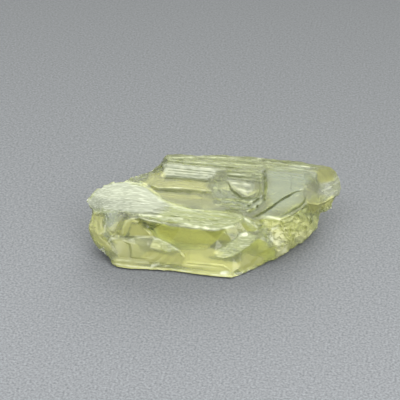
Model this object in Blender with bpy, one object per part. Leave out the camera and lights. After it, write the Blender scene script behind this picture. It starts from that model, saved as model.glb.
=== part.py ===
"""A rough hiddenite crystal: one broken piece of green spodumene, lying on its flattest side.

It is one solid. Its long axis, the c axis along which spodumene cleaves and is striated, is X.
The skin is two sheets that meet at a closed rim: the upper sheet holds every face that can be
seen from one oblique sight line, and the lower sheet holds the back wall, the undercut ends
and the flat base. Each sheet is triangulated between its creases, which are the edges of its
ledges, cleavage steps and hollows. Striae, conchoidal ripples and hackle are then laid on it
by rule. Lengths are in millimetres until the mesh is made.
"""

import math
import random

import bpy
import numpy as np
from mathutils import Vector
from mathutils.bvhtree import BVHTree
from mathutils.geometry import delaunay_2d_cdt

NAME = "hiddenite_crystal"
MM = 0.001

# The sight line that parts the skin into its two sheets.
SIGHT_AZIMUTH = math.radians(10)
SIGHT_ELEVATION = math.radians(35)

# The rim, in runs that go once round the crystal: how far each run is chipped, and its points.
RIM_RUNS = {
    "back_crest": (0.04, [
        (-7.6, 6.7, 6.2), (-7.2, 7.1, 6.4), (-5.7, 7.3, 6.5), (-3.4, 7.4, 6.4), (-1.6, 7.8, 6.5),
        (0.0, 8.0, 6.6), (1.3, 8.0, 6.5), (3.2, 8.3, 6.5), (4.8, 8.2, 6.5), (7.1, 8.3, 6.4),
        (9.3, 8.6, 6.3), (10.9, 8.5, 6.1), (12.5, 8.8, 5.9)]),
    "tip": (0.05, [
        (13.5, 9.1, 5.5), (14.2, 8.9, 5.0), (14.7, 8.1, 4.5), (15.1, 6.9, 4.0), (15.0, 6.1, 3.6),
        (14.5, 5.7, 3.2), (14.2, 5.1, 2.8), (14.2, 4.6, 2.4), (13.7, 4.1, 2.2)]),
    "hackly_end": (0.14, [
        (12.9, 3.8, 2.0), (12.9, 3.2, 1.7), (12.8, 2.4, 1.3), (12.5, 1.2, 0.9), (11.9, 0.3, 0.5),
        (11.2, -0.6, 0.3), (10.0, -1.9, 0.3), (9.8, -2.6, 0.2), (8.8, -3.9, 0.2), (7.8, -4.8, 0.2),
        (7.0, -5.8, 0.2), (5.7, -7.1, 0.2), (5.0, -7.9, 0.2)]),
    "front_foot": (0.0, [
        (3.8, -9.0, 0.2), (2.5, -9.1, 0.2), (-0.2, -9.1, 0.2), (-3.3, -8.9, 0.2),
        (-6.4, -9.1, 0.2), (-8.9, -9.4, 0.2), (-10.4, -9.3, 0.2), (-11.2, -9.0, 0.3)]),
    "left_end": (0.05, [
        (-11.6, -8.4, 0.7), (-12.7, -7.6, 1.0), (-13.6, -7.0, 1.3), (-14.3, -6.3, 1.9),
        (-14.9, -5.3, 2.4), (-15.0, -4.7, 2.7), (-14.9, -3.8, 3.0), (-14.9, -3.1, 3.4)]),
    "lobe_outline": (0.06, [
        (-15.1, -2.6, 3.6), (-15.5, -2.3, 4.0), (-15.9, -1.8, 4.3), (-15.4, -0.8, 4.7),
        (-14.9, -0.2, 5.0), (-14.4, 0.0, 5.1), (-14.1, 0.5, 5.3), (-13.2, 0.8, 5.6),
        (-11.7, 1.0, 5.7)]),
    "left_shoulder": (0.08, [
        (-11.7, 2.9, 4.7), (-10.9, 4.0, 4.7), (-9.4, 4.8, 4.8), (-8.8, 5.5, 5.1),
        (-8.0, 5.9, 5.6)]),
}

# The creases of the upper sheet.
UPPER_CREASES = {
    # The back ridge, and the steep step in front of it.
    "band_foot": [
        (-8.0, 5.9, 5.6), (-7.0, 5.2, 6.1), (-5.3, 5.2, 6.1), (-3.7, 5.2, 6.1), (-2.1, 5.3, 6.1),
        (-0.8, 5.3, 6.0), (0.6, 5.5, 6.0), (2.4, 5.5, 5.9), (4.2, 5.9, 5.8), (5.5, 6.9, 5.9),
        (7.8, 7.4, 5.8), (9.7, 7.5, 5.8), (12.0, 8.0, 5.7)],
    "riser_foot": [
        (-8.2, 3.8, 5.0), (-7.2, 3.9, 5.1), (-5.7, 4.2, 5.1), (-3.8, 4.2, 5.1), (-1.5, 4.1, 5.1)],
    # The long flats, one low step apart.
    "flat_step_top": [(-8.5, 1.9, 5.0), (-7.4, 1.5, 5.0), (-4.3, 1.8, 5.1), (-0.7, 1.9, 5.0)],
    "flat_step_foot": [(-8.2, 1.7, 4.8), (-7.4, 1.3, 4.8), (-4.3, 1.6, 4.8), (-0.8, 1.7, 4.8)],
    "flat_valley": [(-6.3, 0.0, 4.8), (-3.7, 0.1, 4.7), (-0.9, 0.2, 4.7), (0.6, -0.5, 4.7)],
    # The striated front ridge, with its frosted lobe at the left end.
    "lobe_crest": [
        (-11.7, 1.0, 5.7), (-9.5, 0.5, 5.9), (-8.1, -0.3, 5.8), (-7.0, -1.4, 5.7),
        (-5.8, -2.2, 5.6), (-4.3, -2.7, 5.5), (-2.5, -3.1, 5.4), (-0.9, -3.0, 5.4),
        (0.9, -2.7, 5.3), (2.7, -2.6, 5.3), (3.7, -2.6, 5.2), (4.2, -2.9, 4.9)],
    "lobe_back_foot": [
        (-11.7, 2.9, 4.7), (-9.7, 2.1, 4.9), (-8.2, 1.4, 4.8), (-7.0, 0.1, 4.9),
        (-5.8, -0.8, 4.8), (-4.4, -1.5, 4.9), (-2.7, -2.0, 4.9), (-1.0, -2.1, 4.9),
        (0.8, -1.9, 4.9), (2.5, -1.7, 4.9), (3.7, -1.8, 4.9)],
    "lobe_middle": [
        (-14.2, -2.0, 4.9), (-12.8, -2.1, 5.3), (-10.2, -2.3, 5.6), (-7.5, -3.0, 5.5),
        (-5.5, -3.6, 5.3), (-3.5, -4.3, 5.2), (-1.0, -4.4, 5.1), (1.4, -3.8, 5.0),
        (3.0, -3.4, 4.9)],
    "ridge_edge": [
        (-15.1, -2.6, 3.6), (-13.3, -3.6, 4.3), (-11.4, -4.0, 4.7), (-10.2, -4.4, 4.8),
        (-9.5, -5.4, 4.8), (-8.4, -5.2, 4.9), (-7.1, -5.5, 4.9), (-5.4, -5.7, 4.8),
        (-4.2, -6.1, 4.8), (-3.0, -6.1, 4.8), (-1.3, -6.1, 4.7), (-0.1, -6.0, 4.6),
        (1.2, -5.8, 4.5), (2.2, -5.0, 4.5), (3.1, -4.3, 4.5), (3.8, -3.5, 4.6),
        (4.2, -2.9, 4.9)],
    # The left end, broken in three facets.
    "arch_edge": [
        (-9.5, -5.4, 4.8), (-10.0, -5.7, 4.5), (-10.3, -6.1, 3.9), (-10.4, -6.4, 3.2),
        (-10.5, -6.5, 2.6)],
    "arch_side": [(-11.4, -4.0, 4.7), (-11.1, -5.1, 3.9), (-11.3, -6.0, 3.0), (-11.7, -6.5, 2.4)],
    "end_facet": [
        (-13.3, -3.6, 4.3), (-12.7, -4.9, 3.6), (-12.8, -6.1, 2.9), (-13.5, -6.4, 2.6),
        (-14.3, -6.3, 1.9)],
    "end_corner": [
        (-12.8, -6.1, 2.9), (-11.7, -6.5, 2.4), (-11.4, -7.7, 1.5), (-11.6, -8.4, 0.7)],
    # The hollow front: its floor, its two frosted shelves and the hem above the front foot.
    "shelf_back": [
        (-11.7, -6.5, 2.4), (-10.5, -6.5, 2.6), (-8.8, -6.3, 2.7), (-7.0, -6.0, 2.9),
        (-5.7, -6.3, 2.8), (-4.3, -6.8, 2.6), (-3.2, -7.4, 2.3), (-1.8, -7.2, 2.4),
        (0.1, -7.0, 2.4), (1.2, -7.1, 2.4), (2.1, -6.3, 2.7), (3.2, -5.5, 3.1),
        (4.1, -4.6, 3.5), (4.8, -4.0, 3.7), (5.7, -4.0, 3.8)],
    "shelf_front": [
        (-11.7, -6.5, 2.4), (-10.5, -6.7, 2.3), (-8.7, -7.0, 2.3), (-7.0, -7.2, 2.2),
        (-5.8, -7.5, 2.1), (-4.4, -7.7, 2.0), (-3.2, -7.4, 2.3)],
    "slant_shelf_front": [
        (1.2, -7.1, 2.4), (1.5, -7.5, 2.0), (2.3, -7.6, 1.9), (3.5, -7.3, 2.1),
        (4.4, -6.7, 2.5), (5.4, -5.8, 3.0), (6.4, -4.9, 3.5), (5.7, -4.0, 3.8)],
    "hollow_corner": [(1.2, -5.8, 4.5), (1.4, -6.0, 3.4), (1.2, -7.1, 2.4)],
    "hem": [
        (-11.0, -8.9, 0.8), (-9.0, -8.7, 0.8), (-6.5, -8.5, 0.7), (-4.0, -8.5, 0.7),
        (-2.7, -8.5, 0.6), (-0.9, -8.7, 0.6), (1.6, -8.7, 0.5), (3.7, -8.4, 0.6)],
    # The neck and the hackly slope down to the right.
    "neck": [(4.2, -2.9, 4.9), (4.9, -3.7, 4.3), (5.7, -4.0, 3.8)],
    "hackle_left": [
        (5.0, -2.8, 4.8), (6.1, -3.7, 4.2), (7.0, -4.5, 3.6), (8.1, -5.0, 2.6),
        (8.5, -4.7, 1.2), (8.8, -3.9, 0.2)],
    "hackle_middle": [(8.6, -2.3, 4.7), (9.3, -2.8, 3.3), (10.0, -2.6, 2.0), (10.0, -1.9, 0.3)],
    "hackle_right": [(10.8, 0.0, 4.9), (11.8, 0.4, 3.1), (12.0, 0.2, 1.6), (11.9, 0.3, 0.5)],
    # The clear cleavage face: one plane, with a crack across its lower corner.
    "clear_face_foot": [
        (4.8, -1.8, 4.9), (5.0, -2.8, 4.8), (6.4, -2.6, 4.8), (8.6, -2.3, 4.7), (9.7, -1.4, 4.8),
        (10.8, 0.0, 4.9), (11.6, 1.4, 5.0)],
    "clear_face_arc": [
        (12.0, 8.0, 5.7), (11.7, 5.9, 5.5), (10.9, 4.9, 5.4), (10.8, 3.8, 5.3), (11.1, 2.7, 5.2),
        (11.6, 1.4, 5.0)],
    "clear_face_left": [
        (5.5, 6.9, 5.9), (6.0, 4.7, 5.6), (6.3, 2.5, 5.4), (6.3, 0.9, 5.2), (5.6, -0.6, 5.0),
        (4.8, -1.8, 4.9)],
    "clear_face_riser": [(5.2, 6.3, 5.6), (5.5, 4.8, 5.2), (5.7, 3.1, 5.0), (5.6, 1.6, 4.9)],
    # The conchoidal hollow beside it: its wall and its bright inner facet.
    "shell_wall": [
        (-1.5, 4.1, 5.1), (-0.7, 1.9, 5.0), (-0.8, 1.7, 4.8), (-0.1, 0.8, 4.8), (0.6, -0.5, 4.7),
        (2.3, -1.4, 4.8), (3.7, -1.8, 4.9), (4.8, -1.8, 4.9)],
    "shell_inner": [(0.0, 5.0, 5.6), (-0.2, 4.0, 5.0), (0.2, 2.7, 4.7), (1.0, 1.5, 4.6)],
    "bright_facet": [
        (0.9, 4.6, 5.1), (2.5, 4.8, 5.1), (4.2, 4.6, 5.0), (5.0, 4.2, 4.9), (4.8, 3.1, 4.6),
        (3.8, 2.3, 4.4), (2.8, 3.2, 4.6), (1.8, 3.6, 4.8), (0.9, 4.6, 5.1)],
    # The rounded tip and the thin plate below it.
    "tip_ridge": [(11.7, 5.9, 5.5), (12.7, 6.5, 4.9), (14.2, 7.1, 4.4), (15.1, 6.9, 4.0)],
    "tip_lower": [(11.6, 1.4, 5.0), (12.7, 2.8, 3.9), (13.7, 4.2, 3.7), (15.0, 6.1, 3.6)],
    "plate_top": [(12.5, 3.1, 2.6), (13.1, 3.7, 3.2), (14.5, 5.7, 3.2)],
}

# The flat base, which is the face that the crystal lies on, and the creases of the lower sheet.
BASE = [
    (-10.6, -8.6, 0.0), (-8.8, -8.8, 0.0), (-6.3, -8.5, 0.0), (-3.2, -8.3, 0.0),
    (-0.2, -8.5, 0.0), (2.3, -8.5, 0.0), (3.6, -8.4, 0.0), (4.7, -7.4, 0.0), (6.6, -5.3, 0.0),
    (8.5, -3.3, 0.0), (9.7, -1.4, 0.0), (11.1, 0.8, 0.0), (11.5, 2.6, 0.0), (11.2, 5.5, 0.0),
    (10.6, 8.6, 0.0), (6.0, 8.9, 0.0), (0.0, 8.6, 0.0), (-6.0, 8.2, 0.0), (-8.3, 5.2, 0.0),
    (-10.2, 2.2, 0.0), (-11.6, -1.5, 0.0), (-12.0, -5.2, 0.0), (-11.4, -7.6, 0.0),
]
LOWER_CREASES = {
    "back_shoulder": [
        (-7.3, 7.4, 5.6), (-3.4, 7.9, 5.7), (0.0, 8.5, 5.8), (4.8, 8.8, 5.7), (9.3, 9.2, 5.4),
        (12.9, 9.4, 4.9)],
    "back_ledge": [
        (-7.5, 7.8, 3.4), (-3.0, 8.3, 3.6), (1.0, 8.7, 3.4), (6.0, 8.9, 3.5), (10.5, 9.2, 3.2),
        (12.5, 9.0, 3.0)],
    "back_ledge_foot": [
        (-7.4, 8.6, 2.7), (-3.0, 9.2, 2.9), (1.5, 9.5, 2.6), (6.0, 9.5, 2.8), (10.5, 9.6, 2.4)],
    "left_wall": [
        (-7.9, 6.6, 3.8), (-9.2, 5.0, 3.3), (-10.6, 3.1, 3.0), (-12.0, 0.9, 3.3),
        (-13.9, -0.9, 3.4), (-14.4, -2.4, 2.7), (-14.2, -4.2, 1.7), (-13.3, -5.9, 0.9)],
    "tip_underside": [
        (12.5, 9.0, 3.0), (13.4, 7.6, 2.7), (12.9, 6.2, 2.2), (11.9, 4.0, 1.1), (11.8, 2.4, 0.5)],
}


def sight_axes():
    """Rows: rightwards across the sight line, upwards across it, and towards the viewer."""
    sin_a, cos_a = math.sin(SIGHT_AZIMUTH), math.cos(SIGHT_AZIMUTH)
    sin_e, cos_e = math.sin(SIGHT_ELEVATION), math.cos(SIGHT_ELEVATION)
    return np.array([
        (cos_a, sin_a, 0.0),
        (-sin_e * sin_a, sin_e * cos_a, cos_e),
        (sin_a * cos_e, -cos_a * cos_e, sin_e),
    ])


AXES = sight_axes()


def to_sight(points):
    """Crystal coordinates to sight coordinates: across, up and towards the viewer."""
    return np.asarray(points, float).reshape(-1, 3) @ AXES.T


# Steps are (path, rise, width): the skin drops by the rise on the right of the path.
UPPER_STEPS = {
    "terrace_upper": ([
        (-0.1, 0.7, 4.75), (1.6, 1.0, 4.75), (3.1, 1.0, 4.75), (4.0, 0.7, 4.75),
        (4.6, 0.4, 4.75)], 0.34, 0.26),
    "terrace_middle": ([(1.0, -0.2, 4.75), (3.0, 0.1, 4.75), (4.0, -0.4, 4.75)], 0.28, 0.22),
    "terrace_lower": ([(1.9, -0.95, 4.8), (3.4, -0.8, 4.8), (4.2, -1.0, 4.8)], 0.24, 0.22),
    "ridge_terrace": ([
        (-9.8, -4.5, 5.2), (-7.3, -4.3, 5.2), (-5.2, -4.6, 5.2), (-2.9, -4.6, 5.2),
        (0.9, -4.6, 5.2)], 0.22, 0.24),
    "ridge_lip": ([(-8.2, -4.8, 5.0), (-5.8, -5.4, 5.0), (-3.3, -5.4, 5.0)], 0.16, 0.22),
    "fold_tan": ([(-8.7, -4.5, 3.8), (-7.5, -5.8, 3.8), (-6.7, -6.9, 3.8)], -0.30, 0.30),
    "fold_front": ([(-9.5, -6.3, 1.6), (-9.1, -7.5, 1.6), (-8.9, -8.9, 1.6)], 0.20, 0.30),
    "fold_low": ([(-3.1, -6.5, 1.5), (-2.4, -7.6, 1.5), (-2.3, -8.8, 1.5)], -0.16, 0.30),
    "slope_upper": ([
        (6.5, -3.0, 4.0), (7.7, -3.0, 4.0), (9.1, -2.1, 4.0), (10.4, -0.8, 4.0)], 0.24, 0.30),
    "slope_patch": ([
        (7.1, -3.8, 3.6), (7.8, -3.2, 3.6), (8.9, -3.1, 3.6), (9.8, -3.3, 3.6)], -0.30, 0.30),
    "slope_low": ([
        (8.7, -4.1, 2.2), (9.6, -3.5, 2.2), (10.4, -2.3, 2.2), (11.0, -1.4, 2.2)], -0.26, 0.30),
}
# Clefts are (path, width, depth).
UPPER_CLEFTS = {
    "cleft_upper": ([
        (4.0, -0.6, 4.75), (4.7, 0.6, 4.75), (5.3, 1.6, 4.75), (5.7, 2.4, 4.75)], 0.26, 0.35),
    "cleft_middle": ([
        (4.5, -1.5, 4.85), (5.3, -0.7, 4.85), (5.8, 0.5, 4.85), (6.1, 1.5, 4.85)], 0.44, 0.50),
    "crack": ([
        (5.9, -2.5, 5.15), (6.5, -1.6, 5.15), (7.1, -0.6, 5.15), (8.2, 1.3, 5.15),
        (9.5, 3.1, 5.15)], 0.26, 0.35),
    "ring": ([
        (1.6, 3.3, 4.6), (2.5, 2.4, 4.6), (3.3, 1.7, 4.6), (4.1, 1.7, 4.6), (4.9, 2.2, 4.6),
        (5.15, 3.1, 4.6)], 0.30, 0.30),
    "foot_line": ([
        (8.9, -1.6, 5.0), (9.7, -0.6, 5.0), (10.7, 0.7, 5.0), (11.1, 1.9, 5.0)], 0.24, 0.20),
    "undercut": ([(-8.4, -5.7, 4.6), (-7.5, -6.0, 4.6), (-6.4, -6.6, 4.6)], 0.50, 0.45),
    "neck_gap": ([(4.5, -3.2, 4.6), (5.3, -3.4, 4.6), (6.1, -3.9, 4.6)], 0.30, 0.25),
}

# Relief that repeats. Each zone is an outline on the skin, in crystal coordinates.
# Striae are (outline, pitch, relief): grooves and ridges along the c axis.
UPPER_STRIAE = {
    "back_band": ([
        (-7.1, 6.9, 6.35), (-3.4, 7.2, 6.35), (0.0, 7.8, 6.5), (4.8, 8.0, 6.45),
        (9.3, 8.4, 6.2), (12.0, 8.5, 5.9), (9.7, 7.7, 5.8), (5.5, 7.1, 5.9), (4.2, 6.1, 5.85),
        (0.6, 5.7, 6.0), (-3.7, 5.4, 6.1), (-6.9, 5.4, 6.1)], 0.21, 0.06),
    "riser": ([
        (-7.0, 5.0, 5.9), (-2.1, 5.1, 5.95), (-0.5, 5.1, 5.8), (-1.5, 4.3, 5.2),
        (-7.1, 4.1, 5.2)], 0.16, 0.06),
    "slope_to_shell": ([
        (0.4, 5.3, 5.8), (4.2, 5.7, 5.75), (5.1, 6.3, 5.6), (5.4, 4.8, 5.2), (5.0, 4.4, 5.0),
        (2.5, 4.9, 5.1), (0.8, 4.8, 5.2)], 0.18, 0.06),
    "upper_flat": ([
        (-8.3, 3.6, 5.0), (-1.6, 3.9, 5.1), (-0.9, 2.0, 5.0), (-4.3, 1.9, 5.0),
        (-8.4, 2.1, 5.0)], 0.34, 0.025),
    "lower_flat": ([
        (-8.0, 1.5, 4.8), (-1.0, 1.5, 4.8), (0.2, 0.0, 4.7), (-0.9, -1.8, 4.9),
        (-4.4, -1.3, 4.9), (-7.0, 0.3, 4.9)], 0.34, 0.03),
    "lobe": ([
        (-15.2, -1.8, 4.4), (-14.6, -0.4, 5.0), (-13.2, 0.6, 5.5), (-11.7, 0.8, 5.6),
        (-9.5, 0.3, 5.8), (-8.1, -0.5, 5.7), (-5.8, -2.4, 5.5), (-2.5, -3.2, 5.4),
        (0.9, -2.9, 5.3), (3.5, -2.9, 5.1), (3.5, -3.6, 4.7), (2.0, -4.9, 4.5),
        (-0.1, -5.8, 4.6), (-3.0, -5.9, 4.8), (-7.1, -5.3, 4.9), (-9.3, -5.0, 4.8),
        (-11.4, -3.8, 4.7), (-14.5, -2.8, 4.0)], 0.22, 0.065),
    "hem": ([
        (-10.8, -8.8, 0.95), (3.0, -8.4, 0.8), (2.6, -7.9, 1.4), (-3.0, -8.0, 1.3),
        (-10.6, -8.3, 1.3)], 0.20, 0.04),
}
LOWER_STRIAE = {
    "back_wall": ([
        (-6.9, 7.5, 5.4), (12.4, 9.3, 4.8), (12.1, 9.1, 3.3), (6.0, 9.1, 3.7),
        (-6.9, 8.0, 3.7)], 0.28, 0.08),
    "back_ledge_wall": ([
        (-7.0, 8.5, 2.5), (1.5, 9.4, 2.4), (10.2, 9.5, 2.2), (10.0, 8.8, 0.3),
        (0.0, 8.8, 0.3), (-5.8, 8.3, 0.3)], 0.30, 0.07),
}
# Hackle is (outline, spacing, relief): a broken surface of small random facets.
UPPER_HACKLE = {
    "slope": ([
        (5.4, -2.9, 4.7), (8.6, -2.5, 4.6), (10.8, -0.2, 4.8), (11.7, 1.3, 4.8),
        (12.6, 2.6, 3.0), (12.6, 1.6, 1.3), (11.3, -0.2, 0.6), (9.9, -2.2, 0.5),
        (8.9, -3.6, 0.5), (8.3, -4.7, 1.5), (7.0, -4.3, 3.7)], 0.34, 0.24),
    "shoulder": ([
        (-7.4, 5.1, 5.8), (-7.5, 4.1, 5.1), (-8.8, 3.9, 4.9), (-9.2, 4.6, 4.9),
        (-8.1, 5.7, 5.5)], 0.34, 0.10),
    "slant_shelf": ([
        (1.8, -7.2, 2.2), (3.3, -7.0, 2.3), (5.2, -5.6, 3.1), (5.5, -4.3, 3.7),
        (4.6, -4.4, 3.6), (2.6, -6.2, 2.7)], 0.34, 0.08),
    "shelf": ([
        (-7.0, -6.3, 2.8), (-5.6, -6.5, 2.7), (-3.6, -7.4, 2.3), (-4.6, -7.5, 2.1),
        (-6.8, -7.0, 2.3)], 0.32, 0.08),
    "end": ([
        (-14.6, -5.2, 2.5), (-14.6, -3.4, 3.5), (-12.9, -5.3, 3.4), (-13.4, -6.2, 2.6)],
        0.42, 0.08),
    "shell_wall": ([
        (-1.2, 3.6, 5.0), (-0.2, 4.0, 4.9), (0.6, 2.6, 4.7), (1.2, 1.3, 4.7), (-0.2, 0.9, 4.7)],
        0.36, 0.06),
}
LOWER_HACKLE = {
    "left_wall": ([
        (-8.0, 6.2, 5.2), (-11.6, 1.4, 5.0), (-14.6, -0.9, 4.2), (-14.6, -4.0, 2.2),
        (-12.5, -4.5, 0.3), (-11.8, -1.0, 0.3), (-8.5, 5.5, 0.3), (-7.6, 6.9, 3.0)],
        0.50, 0.16),
    "tip_underside": ([
        (13.0, 8.8, 3.6), (14.4, 7.0, 3.4), (13.9, 5.2, 2.3), (12.6, 2.6, 1.0),
        (11.9, 3.0, 0.3), (11.7, 7.5, 1.4)], 0.50, 0.12),
}
# Conchoidal ripples are (centre, first and last radius, pitch, relief, start and end angle)
# round a centre on the skin, measured across the sight line from rightwards.
UPPER_RIPPLES = {
    "shell": ((2.2, 3.4, 5.0), 3.0, 3.9, 0.42, 0.09, -70, -8),
    "tip": ((10.4, 5.2, 5.2), 1.7, 4.4, 0.80, 0.05, -35, 20),
    "lower_front": ((-8.0, -6.0, 2.6), 2.0, 6.0, 0.95, 0.05, -80, -20),
    "front_right": ((3.0, -4.2, 2.5), 3.6, 7.2, 0.85, 0.06, -75, -30),
    "end": ((-10.8, -5.2, 4.0), 1.5, 3.6, 0.60, 0.05, 165, 235),
}

SAMPLE_STEP = 0.7      # between the points of a stria
CREASE_GAP = 0.08      # that repeated relief keeps from a crease
RIM_GAP = 0.14
CHIP_STEP = 0.45       # between chips along the rim
PATH_STEP = 0.4        # between the points of a step or a cleft
STRIA_LENGTH = (2.0, 8.0)
SEED = 7


def heading(vector):
    return vector / np.linalg.norm(vector)


def chipped_rim(rng):
    """The rim as one closed loop in sight coordinates, with small chips along its runs."""
    marked = [
        (point, chip)
        for chip, run in RIM_RUNS.values()
        for point in to_sight(run)
    ]
    loop = []
    for (here, chip), (there, _) in zip(marked, marked[1:] + marked[:1]):
        loop.append(here)
        count = int(np.linalg.norm((there - here)[:2]) / CHIP_STEP) if chip else 0
        for step in range(1, count):
            jitter = np.array([rng.uniform(-chip, chip) for _ in range(3)])
            loop.append(here + (there - here) * step / count + jitter)
    return loop


def segments_of(lines):
    """Every step of these polylines, as an array of start and end points."""
    steps = [pair for line in lines for pair in zip(line, line[1:])]
    return np.array(steps, float).reshape(-1, 2, 3)


def distances(point, segments):
    """How far a point lies from each segment across the sight line, and where along it."""
    start, run = segments[:, 0, :2], segments[:, 1, :2] - segments[:, 0, :2]
    share = ((point[:2] - start) * run).sum(1) / np.maximum((run * run).sum(1), 1e-12)
    share = np.clip(share, 0.0, 1.0)
    return np.linalg.norm(start + run * share[:, None] - point[:2], axis=1), share


def triangulated(rim, lines):
    """Points and triangles of one sheet: what lies inside the rim, with each line as edges."""
    points, edges, known = [], [], {}

    def index_of(point):
        key = tuple(round(float(x), 4) for x in point)
        if key not in known:
            known[key] = len(points)
            points.append(np.array(point, float))
        return known[key]

    loop = [index_of(p) for p in rim]
    for line in lines:
        indices = [index_of(p) for p in line]
        edges += [pair for pair in zip(indices, indices[1:]) if pair[0] != pair[1]]
    flat = [Vector(p[:2]) for p in points]
    inside_only = 1
    corners, _, faces, origins, _, _ = delaunay_2d_cdt(flat, edges, [loop], inside_only, 1e-6)
    segments = segments_of([*lines, [*rim, rim[0]]])
    placed = []
    for corner, origin in zip(corners, origins):
        if origin:
            placed.append(points[origin[0]])
            continue
        away, share = distances(np.array(corner), segments)
        on = away < 1e-3
        depth = segments[on, 0, 2] + (segments[on, 1, 2] - segments[on, 0, 2]) * share[on]
        placed.append(np.array([corner[0], corner[1], depth.mean()]))
    return np.array(placed), [list(face) for face in faces]


def depth_reader(points, faces):
    """A function that gives the sheet's depth, towards the viewer, at a place across it."""
    tree = BVHTree.FromPolygons([Vector(p) for p in points], faces)

    def depth_at(place):
        hit = tree.ray_cast(Vector((place[0], place[1], 100.0)), Vector((0.0, 0.0, -1.0)))[0]
        if hit is None:
            hit = tree.find_nearest(Vector((place[0], place[1], 0.0)))[0]
        return hit.z

    return depth_at


def inside(place, outline):
    """Whether a place across the sight line lies in an outline, by the even-odd rule."""
    crossings = 0
    for (x0, y0), (x1, y1) in zip(outline, np.roll(outline, -1, axis=0)):
        if (y0 > place[1]) != (y1 > place[1]):
            crossings += place[0] < x0 + (place[1] - y0) * (x1 - x0) / (y1 - y0)
    return crossings % 2 == 1


def stria(start, end, level, offset, along, across, rng):
    """One ridge or groove: a nearly straight line that drifts and fades a little."""
    count = max(int((end - start) / SAMPLE_STEP), 1)
    slope = rng.uniform(-0.012, 0.012)
    line = []
    for reach in np.linspace(start, end, count + 1):
        place = along * reach + across * (level + slope * (reach - start))
        line.append((*place, offset * rng.uniform(0.6, 1.2)))
    return line


def striae(zone, pitch, relief, rng):
    """Lines along the c axis inside a zone, as (across, up, offset), ridge after groove."""
    along = heading(AXES[:2, 0])
    across = np.array([-along[1], along[0]])
    outline = to_sight(zone)[:, :2]
    runs, levels = outline @ along, outline @ across
    lines, level, side = [], levels.min() + pitch / 2, 1
    while level < levels.max():
        crossings = sorted(
            r0 + (level - l0) * (r1 - r0) / (l1 - l0)
            for r0, l0, r1, l1 in zip(runs, levels, np.roll(runs, -1), np.roll(levels, -1))
            if (l0 > level) != (l1 > level)
        )
        for start, limit in zip(crossings[::2], crossings[1::2]):
            start += rng.uniform(0.0, 0.4)
            while start < limit - SAMPLE_STEP:
                end = min(start + rng.uniform(*STRIA_LENGTH), limit - rng.uniform(0.0, 0.4))
                offset = side * relief * rng.uniform(0.4, 1.3)
                if end - start > 0.5:
                    lines.append(stria(start, end, level, offset, along, across, rng))
                start = end + rng.uniform(0.25, 0.7)
        level += pitch * rng.uniform(0.75, 1.3)
        side = -side
    return lines


def evenly(path, spacing):
    """A path across the sight line, resampled at about this spacing, with its unit normals."""
    places = to_sight(path)[:, :2]
    fine = [places[:1]]
    for here, there in zip(places, places[1:]):
        count = max(int(np.linalg.norm(there - here) / spacing), 1)
        fine.append(here + (there - here) * np.linspace(0, 1, count + 1)[1:, None])
    places = np.concatenate(fine)
    runs = np.gradient(places, axis=0)
    runs /= np.linalg.norm(runs, axis=1, keepdims=True)
    return places, np.stack([-runs[:, 1], runs[:, 0]], axis=1)


def rails(path, profile, rng):
    """Lines beside a path, one for each (sideways, offset) of its profile, fading at its ends."""
    places, normals = evenly(path, PATH_STEP)
    fade = np.sin(np.linspace(0.12, 0.88, len(places)) * math.pi) ** 0.4
    wander = np.array([rng.uniform(-0.03, 0.03) for _ in places])
    lines = []
    for sideways, offset in profile:
        beside = places + normals * (wander + sideways)[:, None]
        lines.append([(*place, offset * f) for place, f in zip(beside, fade)])
    return lines


def step(path, rise, width, rng):
    return rails(path, [(width / 2, rise / 2), (-width / 2, -rise / 2)], rng)


def cleft(path, width, depth, rng):
    return rails(path, [(width / 2, 0.0), (0.0, -depth), (-width / 2, 0.0)], rng)


def ripples(centre, first, last, pitch, relief, start, end, rng):
    """Arcs round a centre, as (across, up, offset), crest after trough."""
    middle = to_sight(centre)[0]
    lines, radius, side = [], first, 1
    while radius <= last:
        count = max(int(math.radians(end - start) * radius / 0.45), 3)
        offset = side * relief * rng.uniform(0.6, 1.0)
        arc = []
        for angle in np.radians(np.linspace(start, end, count + 1)):
            reach = radius * rng.uniform(0.97, 1.03)
            arc.append((middle[0] + reach * math.cos(angle),
                        middle[1] + reach * math.sin(angle), offset))
        lines.append(arc)
        radius += pitch / 2
        side = -side
    return lines


def hackle(zone, spacing, relief, rng):
    """Single points scattered through a zone, as (across, up, offset)."""
    outline = to_sight(zone)[:, :2]
    low, high = outline.min(0), outline.max(0)
    points = []
    for row in np.arange(low[1], high[1], spacing):
        for column in np.arange(low[0], high[0], spacing):
            place = (column + rng.uniform(-0.4, 0.4) * spacing,
                     row + rng.uniform(-0.4, 0.4) * spacing)
            if inside(place, outline):
                points.append([(*place, rng.uniform(-relief, relief))])
    return points


def turn(p, q, r):
    """Which way three points turn across the sight line."""
    return ((q[..., 0] - p[..., 0]) * (r[..., 1] - p[..., 1])
            - (q[..., 1] - p[..., 1]) * (r[..., 0] - p[..., 0]))


def crosses(start, end, segments):
    """Whether the run between two points crosses any of these segments."""
    a, b = segments[:, 0], segments[:, 1]
    apart = turn(start, end, a) * turn(start, end, b) < 0
    return bool((apart & (turn(a, b, start) * turn(a, b, end) < 0)).any())


def settled(lines, depth_at, fixed, rim):
    """Lines laid on the sheet, broken wherever they come near what is there already."""
    outline = np.array(rim)[:, :2]
    rim_segments = segments_of([[*rim, rim[0]]])
    laid = []
    for line in lines:
        run = []
        for across, up, offset in line:
            place = np.array([across, up, 0.0])
            clear = (inside(place, outline)
                     and distances(place, fixed)[0].min() > CREASE_GAP
                     and distances(place, rim_segments)[0].min() > RIM_GAP)
            point = np.array([across, up, depth_at(place) + offset]) if clear else None
            if run and (point is None or crosses(run[-1], point, fixed)):
                laid.append(run)
                run = []
            if point is not None:
                run.append(point)
        if run:
            laid.append(run)
    return laid


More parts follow.
